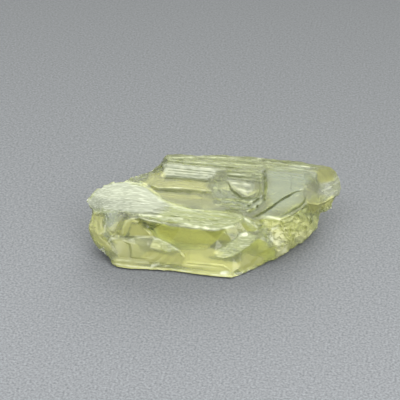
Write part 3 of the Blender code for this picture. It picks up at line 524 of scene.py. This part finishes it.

# The frosted coat's colour: plain, and for each finish. The sheen is a painted reflection of the
# room, the glints are partly painted highlights, the bright lines are chipped frost with painted
# highlights, the glowing areas are painted light, and the shade colour is painted shade.
DUST = {
    "plain": (0.28, 0.315, 0.13), "pale": (0.285, 0.307, 0.212), "cool": (0.36, 0.43, 0.34),
    "glint": (0.43, 0.45, 0.33), "rind": (0.47, 0.495, 0.23), "glow": (0.68, 0.665, 0.21),
    "bright": (0.64, 0.66, 0.46), "shade": (0.13, 0.15, 0.07), "stain": (0.22, 0.225, 0.04),
}
# How much of the clear crystal each finish covers, what lies on all of it, and how much more the
# blotchy rind behind. Frost and striae cover it in strands.
COVER = {"glow": 0.42, "bright": 0.5, "glint": 0.4, "cool": 0.16, "stain": 0.3, "shade": 0.3}
THIN_COVER, RIND_COVER = 0.14, 0.45
FROST_COVER, FROST_STRANDS, STRIA_STRANDS = 0.62, 0.4, 0.7

# The clear crystal: its tint at the surface, for each finish, and its colour in depth. The deeper
# green tint and the shade tint are partly painted shade, in hollows, undercuts and clefts.
CLEAR = (1.0, 1.0, 1.0)
TINTS = {"olive": (0.53, 0.485, 0.20), "shade": (0.36, 0.40, 0.20), "stain": (0.44, 0.45, 0.08)}
STAIN_GAIN = 1.5
IOR = 1.66
POLISH, FROSTED_ROUGHNESS = 0.06, 0.45
DEPTH_COLOUR, DEPTH_DENSITY = (0.855, 0.90, 0.13, 1.0), 114.0

# Fine patterns in the finish: their sizes along and across the c axis, and their detail.
STRANDS, DASHES = (1.6, 0.14, 3.0), (1.1, 0.16, 1.0)
BLOTCHES, SPECKS = (1.6, 0.9, 2.0), (0.35, 0.30, 2.0)
GLINT_FROM, GLINT_FULL = 0.52, 0.70                 # the dashes' values between which they shine
STRAND_BUMP, SPECK_BUMP = 0.00005, 0.00010          # in metres
PALE_BUMP_LOSS, BUMP_STRENGTH = 0.85, 0.5

# The mat, in metres: its size, how far it lies below the crystal, and its grey, which darkens
# from near to far as painted shade, where the light falls off. Its tooth fades as it does.
MAT_SIZE, MAT_GAP = 1.2, 0.05 * MM
MAT_NEAR, MAT_FAR = -0.03, 0.10
PAPER_GREY, PAINTED_FALLOFF_SHADE = 0.167, 0.110
PAPER_RED, PAPER_BLUE, PAPER_BLUE_LOSS = 0.96, 1.035, 0.025
TOOTH_SCALE, TOOTH_DEPTH = 3600.0, 0.22
PAPER_ROUGHNESS = 0.8

# The sky: its colours from low to high, how it leans up, to the back and to the right.
SKY = [(0.0, (0.40, 0.41, 0.43)), (0.42, (0.50, 0.52, 0.54)), (0.62, (0.69, 0.71, 0.73)),
       (0.90, (1.0, 1.0, 0.98))]
SKY_UP, SKY_BACK, SKY_RIGHT = 0.9, 0.4, 0.18
SKY_STRENGTH = 2.05

# Lamps: the place and size in metres, the power in watts, and whether the faces mirror them.
LAMPS = {
    "window": ((0.02, 0.38, 0.12), 0.26, 3.8, False),
    "fill": ((-0.20, -0.10, 0.34), 0.19, 0.28, True),
    "right fill": ((0.24, -0.14, 0.20), 0.20, 0.40, True),
}


def across_sight(points):
    """Places across the sight line, as columns rightwards, upwards and towards the viewer."""
    return np.asarray(points, float) @ sight_axes().T


def edge_limit(places):
    """How long an edge may be there: short on the upper skin, long on the flat base."""
    depth = across_sight(places)[:, 2]
    limit = np.where(depth < BACK_DEPTH, BACK_EDGE, FINE_EDGE)
    return np.where(places[:, 2] < BASE_HEIGHT, BASE_EDGE, limit)


def halved(points, faces):
    """Every edge longer than its limit is cut in two, and its triangles are parted."""
    sides = np.sort(faces[:, [[0, 1], [1, 2], [2, 0]]], axis=2).reshape(-1, 2)
    edges, which = np.unique(sides, axis=0, return_inverse=True)
    lengths = np.linalg.norm(points[edges[:, 0]] - points[edges[:, 1]], axis=1)
    long = lengths > edge_limit(points[edges].mean(axis=1))
    middle = np.full(len(edges), -1)
    middle[long] = len(points) + np.arange(long.sum())
    points = np.concatenate([points, points[edges[long]].mean(axis=1)])
    cuts = middle[which.ravel()].reshape(-1, 3)
    count = (cuts >= 0).sum(axis=1)
    parts = [faces[count == 0]]
    for turn in range(3):
        (a, b, c), (ab, bc, ca) = np.roll(faces, turn, axis=1).T, np.roll(cuts, turn, axis=1).T
        one = (count == 1) & (ab >= 0)
        parts += [np.stack(corners, axis=1)[one] for corners in ((a, ab, c), (ab, b, c))]
        two = (count == 2) & (ca < 0)
        reach = np.linalg.norm(points[a] - points[bc], axis=1)
        short = two & (reach < np.linalg.norm(points[ab] - points[c], axis=1))
        other = two & ~short
        parts.append(np.stack((ab, b, bc), axis=1)[two])
        parts += [np.stack(corners, axis=1)[short] for corners in ((a, ab, bc), (a, bc, c))]
        parts += [np.stack(corners, axis=1)[other] for corners in ((a, ab, c), (ab, bc, c))]
    (a, b, c), (ab, bc, ca) = faces[count == 3].T, cuts[count == 3].T
    for corners in ((a, ab, ca), (ab, b, bc), (ca, bc, c), (ab, bc, ca)):
        parts.append(np.stack(corners, axis=1))
    return points, np.concatenate(parts), long.any()


def refined(source):
    """A mesh's points, in millimetres, and triangles, with no edge longer than its limit."""
    mesh = bmesh.new()
    mesh.from_mesh(source)
    bmesh.ops.remove_doubles(mesh, verts=mesh.verts, dist=MERGE_GAP * MM)
    points = np.array([vertex.co for vertex in mesh.verts]) / MM
    faces = np.array([[vertex.index for vertex in face.verts] for face in mesh.faces])
    mesh.free()
    more = True
    while more:
        points, faces, more = halved(points, faces)
    return points, faces


def normals_of(points, faces):
    """The skin's outward direction at each point, from the faces around it."""
    corners = points[faces]
    flat = np.cross(corners[:, 1] - corners[:, 0], corners[:, 2] - corners[:, 0])
    total = np.zeros_like(points)
    for column in range(3):
        np.add.at(total, faces[:, column], flat)
    return total / np.maximum(np.linalg.norm(total, axis=1, keepdims=True), TINY)


def seeded(seed):
    """Where in the endless noise this seed looks."""
    return Vector([seed * step for step in SEED_STEP])


def swell(points, size, stretch, seed):
    """Smooth random values, about -1 to 1, over hills of this size, longer along the c axis."""
    offset = seeded(seed)
    spots = points / (size * np.array((stretch, 1.0, 1.0)))
    return np.array([noise.noise(Vector(spot) + offset) for spot in spots]) * NOISE_GAIN


def facets(points, size, seed):
    """Random flats about this size, each tilted its own way, as a hackly break has."""
    offset = seeded(seed)
    heights = []
    for point in points / size:
        spot = Vector(point) + offset
        centre = noise.voronoi(spot)[1][0]
        tilt = noise.cell_vector(centre * TILT_SPREAD) * 2 - Vector((1, 1, 1))
        heights.append((spot - centre).dot(tilt))
    return np.array(heights)


def gaps_to(places, path):
    """The distance of each place from a path across the sight line, run by run."""
    for start, end in zip(path, path[1:]):
        run = end - start
        share = np.clip(((places - start) @ run) / (run @ run), 0, 1)
        yield start, run, np.linalg.norm(places - start - share[:, None] * run, axis=1)


def depth_inside(places, outline):
    """How far each place lies inside a closed outline: negative outside it."""
    nearest = np.full(len(places), np.inf)
    within = np.zeros(len(places), bool)
    for start, run, gap in gaps_to(places, np.concatenate([outline, outline[:1]])):
        nearest = np.minimum(nearest, gap)
        spans = (start[1] > places[:, 1]) != (start[1] + run[1] > places[:, 1])
        meets = start[0] + (places[:, 1] - start[1]) * run[0] / (run[1] or 1.0)
        within ^= spans & (places[:, 0] < meets)
    return np.where(within, nearest, -nearest)


def drawn(finish):
    """Each area or line of a finish in every region, with its points across the sight line."""
    for region in REGIONS.values():
        for strength, width, points in region.get(finish, []):
            yield strength, width, across_sight(points)[:, :2]


def area_weights(points, places):
    """Each finish's strength at each point, from its outlines, with ragged soft edges."""
    ragged = WANDER_SHARE * swell(points, *EDGE_WANDER)
    weights = {}
    for finish in AREAS:
        weights[finish] = np.zeros(len(points))
        for strength, edge, outline in drawn(finish):
            depth = depth_inside(places, outline) + ragged * edge
            share = np.clip(depth / edge + 0.5, 0, 1)
            soft = strength * share * share * (3 - 2 * share)
            weights[finish] = np.maximum(weights[finish], soft)
    return weights


def line_weights(points, places):
    """How strongly each kind of line marks each point, by its distance from the lines."""
    broken = LINE_STRENGTH + LINE_BREAKING * swell(points, *LINE_BREAKS)
    weights = {}
    for finish in LINES:
        weights[finish] = np.zeros(len(points))
        for strength, half_width, path in drawn(finish):
            for start, run, gap in gaps_to(places, path):
                near = strength * np.clip(LINE_REACH - gap / half_width, 0, 1)
                weights[finish] = np.maximum(weights[finish], near)
        weights[finish] = np.clip(weights[finish] * broken, 0, 1)
    return weights


def finishes(points, faces):
    """The strength of each finish at each point of the skin."""
    places = across_sight(points - MEASURED_FROM)[:, :2]
    weights = {**area_weights(points, places), **line_weights(points, places)}
    facing = np.clip(across_sight(normals_of(points, faces))[:, 2] * FACING_GAIN, 0, 1)
    for finish in weights:
        weights[finish] = weights[finish] * facing
    behind = 1 - facing
    prism_side = points[:, 1] > PRISM_FACE
    weights["striated"] = np.maximum(weights["striated"], behind * prism_side)
    weights["hackle"] = np.maximum(weights["hackle"], BACK_HACKLE * behind * ~prism_side)
    weights["rind"] = behind
    return weights


def eased(points, faces, shares):
    """The skin with each point drawn towards its neighbours' mean, by its own share."""
    count = np.bincount(faces.ravel())[:, None]
    for _ in range(EASE_TURNS):
        total = np.zeros_like(points)
        for column in range(3):
            np.add.at(total, faces[:, column], points[faces[:, column - 1]])
        points = points + shares[:, None] * (total / count - points)
    return points


def worked(points, faces, weights):
    """The skin with its frosted faces eased, its striae and hackle raised, and its base flat."""
    frosted = (weights["pale"] * weights["frost"] - EASED_ABOVE) * EASE_GAIN
    points = eased(points, faces, EASE * np.clip(frosted, 0, 1))
    grain = swell(points, *FINE_STRIAE) + BROAD_SHARE * swell(points, *BROAD_STRIAE)
    lumps = facets(points, *HACKLE_FLATS) + LUMP_SHARE * swell(points, *HACKLE_LUMPS)
    relief = STRIA_RELIEF * weights["striated"] * grain
    relief += (HACKLE_RELIEF * weights["hackle"] + CHIP_RELIEF * weights["bright"]) * lumps
    relief -= CLEFT_DEPTH * weights["shade"]
    relief = np.where(points[:, 2] < BASE_HEIGHT, 0.0, relief)
    points = points + normals_of(points, faces) * relief[:, None]
    points[:, 2] = np.maximum(points[:, 2], 0.0)
    return points


def crystal():
    """The crystal's fine skin, which stands for the CAD body."""
    points, faces = refined(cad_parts[NODE].data)
    weights = finishes(points, faces)
    points = worked(points, faces, weights)
    skin = bpy.data.meshes.new("crystal_skin")
    skin.from_pydata((points * MM).tolist(), [], faces.tolist())
    for finish, weight in weights.items():
        layer = skin.attributes.new(finish, "FLOAT", "POINT")
        layer.data.foreach_set("value", weight.astype(np.float32))
    skin.shade_smooth()
    skin.set_sharp_from_angle(angle=math.radians(SHARP_ANGLE))
    piece = bpy.data.objects.new("crystal_skin", skin)
    bpy.context.scene.collection.objects.link(piece)
    skin.materials.append(hiddenite())
    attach(piece, "root")
    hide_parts(NODE)


class Socket:
    """A shader node's output, which can be used in arithmetic."""

    def __init__(self, tree, output):
        self.tree, self.output = tree, output

    def _with(self, operation, first, second):
        return self.tree.node("ShaderNodeMath", {"operation": operation}, {0: first, 1: second})

    def __add__(self, other):
        return self._with("ADD", self, other)

    def __radd__(self, other):
        return self._with("ADD", other, self)

    def __sub__(self, other):
        return self._with("SUBTRACT", self, other)

    def __rsub__(self, other):
        return self._with("SUBTRACT", other, self)

    def __mul__(self, other):
        return self._with("MULTIPLY", self, other)

    def __rmul__(self, other):
        return self._with("MULTIPLY", other, self)


class Tree:
    """The node tree of a material or a world, with one method that adds any node."""

    def __init__(self, holder):
        holder.use_nodes = True
        self.nodes, self.links = holder.node_tree.nodes, holder.node_tree.links
        self.nodes.clear()

    def node(self, kind, settings=None, sockets=None, out=0):
        """A new node: its settings first, then a value or a link for each named socket."""
        node = self.nodes.new(kind)
        for name, value in (settings or {}).items():
            if name == "stops":
                ramp = node.color_ramp.elements
                while len(ramp) < len(value):
                    ramp.new(1.0)
                for stop, (position, colour) in zip(ramp, value):
                    stop.position, stop.color = position, (*colour, 1.0)
            else:
                setattr(node, name, value)
        for name, value in (sockets or {}).items():
            if isinstance(value, Socket):
                self.links.new(value.output, node.inputs[name])
            else:
                node.inputs[name].default_value = value
        return Socket(self, node.outputs[out]) if node.outputs else None

    def blend(self, share, low, high):
        """A colour between two others."""
        low, high = [(*end, 1.0) if isinstance(end, tuple) else end for end in (low, high)]
        return self.node("ShaderNodeMix", {"data_type": "RGBA"}, {0: share, 6: low, 7: high}, 2)

    def ramped(self, value, low, high):
        """0 where a value is at its low end, 1 where it is at its high end."""
        return self.node("ShaderNodeMapRange", None, {"Value": value, "From Min": low,
                                                      "From Max": high})

    def weight(self, finish):
        """A finish's strength, as the mesh holds it."""
        return self.node("ShaderNodeAttribute", {"attribute_name": finish}, None, "Fac")

    def fibres(self, place, along, across, detail):
        """Noise drawn out along the c axis: its two sizes are in millimetres."""
        scale = (1 / (along * MM), 1 / (across * MM), 1 / (across * MM))
        place = self.node("ShaderNodeMapping", None, {"Vector": place, "Scale": scale})
        return self.node("ShaderNodeTexNoise", None, {"Vector": place, "Scale": 1.0,
                                                      "Detail": detail})


def hiddenite():
    """Clear yellowish green crystal under broken, frosted and striated patches, and painted light
    and shade.
    """
    material = bpy.data.materials.new("hiddenite")
    tree = Tree(material)
    place = tree.node("ShaderNodeTexCoord", out="Object")
    weight = {finish: tree.weight(finish) for finish in (*AREAS, *LINES, "rind")}
    frost, striated = weight["frost"], weight["striated"]
    strand, blotch = tree.fibres(place, *STRANDS), tree.fibres(place, *BLOTCHES)
    # Glints: bright dashes in the frost, partly painted highlights.
    weight["glint"] = tree.ramped(tree.fibres(place, *DASHES), GLINT_FROM, GLINT_FULL) * frost

    bumps = striated * (1 - weight["pale"] * PALE_BUMP_LOSS) * strand * STRAND_BUMP
    bumps = bumps + weight["hackle"] * tree.fibres(place, *SPECKS) * SPECK_BUMP
    bump = tree.node("ShaderNodeBump", None, {"Height": bumps, "Strength": BUMP_STRENGTH,
                                              "Distance": 1.0})

    # Painted shade: the clear crystal is tinted darker in hollows, undercuts and clefts and at the
    # feet of steps, besides its deeper green and its stains.
    tint = tree.blend(weight["olive"], CLEAR, TINTS["olive"])
    tint = tree.blend(weight["shade"], tint, TINTS["shade"])
    tint = tree.blend(weight["stain"] * blotch * STAIN_GAIN, tint, TINTS["stain"])
    clear = tree.node("ShaderNodeBsdfPrincipled", None, {
        "Base Color": tint, "Roughness": POLISH, "IOR": IOR, "Transmission Weight": 1.0,
        "Normal": bump})

    # Painted light in the frosted coat: a painted reflection as a bluish grey sheen, painted
    # highlights in the glints and bright lines, painted glowing areas and painted shade.
    dust = tree.blend(weight["pale"], DUST["plain"], DUST["pale"])
    dust = tree.blend(weight["cool"] * (1 - frost), dust, DUST["cool"])
    for finish in ("glint", "rind", "glow", "bright", "shade", "stain"):
        dust = tree.blend(weight[finish], dust, DUST[finish])
    frosted = tree.node("ShaderNodeBsdfPrincipled", None, {
        "Base Color": dust, "Roughness": FROSTED_ROUGHNESS, "IOR": IOR, "Normal": bump})

    cover = frost * (strand * FROST_STRANDS + FROST_COVER) + THIN_COVER
    cover = cover + striated * (strand - 0.5) * STRIA_STRANDS
    cover = cover + weight["rind"] * blotch * RIND_COVER
    for finish, share in COVER.items():
        cover = cover + weight[finish] * share
    surface = tree.node("ShaderNodeMixShader", None, {0: cover, 1: clear, 2: frosted})
    depth = tree.node("ShaderNodeVolumeAbsorption", None, {
        "Color": DEPTH_COLOUR, "Density": DEPTH_DENSITY})
    tree.node("ShaderNodeOutputMaterial", None, {"Surface": surface, "Volume": depth})
    return material


def grey_paper():
    """Matt grey paper with a fine tooth, with painted shade that darkens it away from the viewer.
    """
    material = bpy.data.materials.new("grey paper")
    tree = Tree(material)
    place = tree.node("ShaderNodeTexCoord", out="Object")
    away = tree.node("ShaderNodeSeparateXYZ", None, {"Vector": place}, "Y")
    far = tree.ramped(away, MAT_NEAR, MAT_FAR)
    tooth = tree.node("ShaderNodeTexNoise", None, {"Vector": place, "Scale": TOOTH_SCALE,
                                                   "Detail": 1.0})
    # Painted shade: the grey darkens and loses some blue towards the back, where the light falls
    # off.
    tone = PAPER_GREY - PAINTED_FALLOFF_SHADE * far + (tooth - 0.5) * TOOTH_DEPTH * (1 - far)
    colour = tree.node("ShaderNodeCombineColor", None, {
        "Red": tone * PAPER_RED, "Green": tone,
        "Blue": tone * (PAPER_BLUE - PAPER_BLUE_LOSS * far)})
    paper = tree.node("ShaderNodeBsdfPrincipled", None, {"Base Color": colour,
                                                         "Roughness": PAPER_ROUGHNESS})
    tree.node("ShaderNodeOutputMaterial", None, {"Surface": paper})
    return material


def ground():
    """The mat that the crystal lies on."""
    bpy.ops.mesh.primitive_plane_add(size=MAT_SIZE, location=(0, 0, -MAT_GAP))
    mat = bpy.context.object
    mat.name = "grey_mat"
    mat.data.materials.append(grey_paper())


def room():
    """A pale room, brighter overhead, to the back and to the right."""
    world = bpy.data.worlds.new("soft_room")
    bpy.context.scene.world = world
    tree = Tree(world)
    gaze = tree.node("ShaderNodeTexCoord", out="Generated")
    up, back, right = [tree.node("ShaderNodeSeparateXYZ", None, {"Vector": gaze}, axis)
                       for axis in ("Z", "Y", "X")]
    lean = up * SKY_UP + back * SKY_BACK + right * SKY_RIGHT
    sky = tree.node("ShaderNodeValToRGB", {"stops": SKY}, {"Fac": lean})
    light = tree.node("ShaderNodeBackground", None, {"Color": sky, "Strength": SKY_STRENGTH})
    tree.node("ShaderNodeOutputWorld", None, {"Surface": light})


def softbox(name, place, size, power, mirrored):
    """A square lamp that faces the crystal, unseen through it."""
    lamp = bpy.data.lights.new(name, "AREA")
    lamp.size, lamp.energy = size, power
    holder = bpy.data.objects.new(name, lamp)
    bpy.context.scene.collection.objects.link(holder)
    holder.location = place
    holder.rotation_euler = (-Vector(place)).to_track_quat("-Z", "Y").to_euler()
    holder.visible_glossy = mirrored
    holder.visible_transmission = False


def view():
    """The camera, a little right of the crystal's front and above it."""
    camera = bpy.data.cameras.new("view")
    camera.lens_unit = "FOV"
    camera.angle = 2 * math.atan(FRAME_DOTS / 2 / DOTS_PER_MM / EYE_DISTANCE)
    camera.clip_start = MM
    eye = bpy.data.objects.new("view", camera)
    bpy.context.scene.collection.objects.link(eye)
    eye.location = (MEASURED_FROM + eye_place()) * MM
    eye.rotation_euler = Vector(-sight_axes()[2]).to_track_quat("-Z", "Y").to_euler()
    bpy.context.scene.camera = eye
    bpy.context.scene.view_settings.view_transform = "Standard"


crystal()
ground()
room()
for lamp_name, settings in LAMPS.items():
    softbox(lamp_name, *settings)
view()
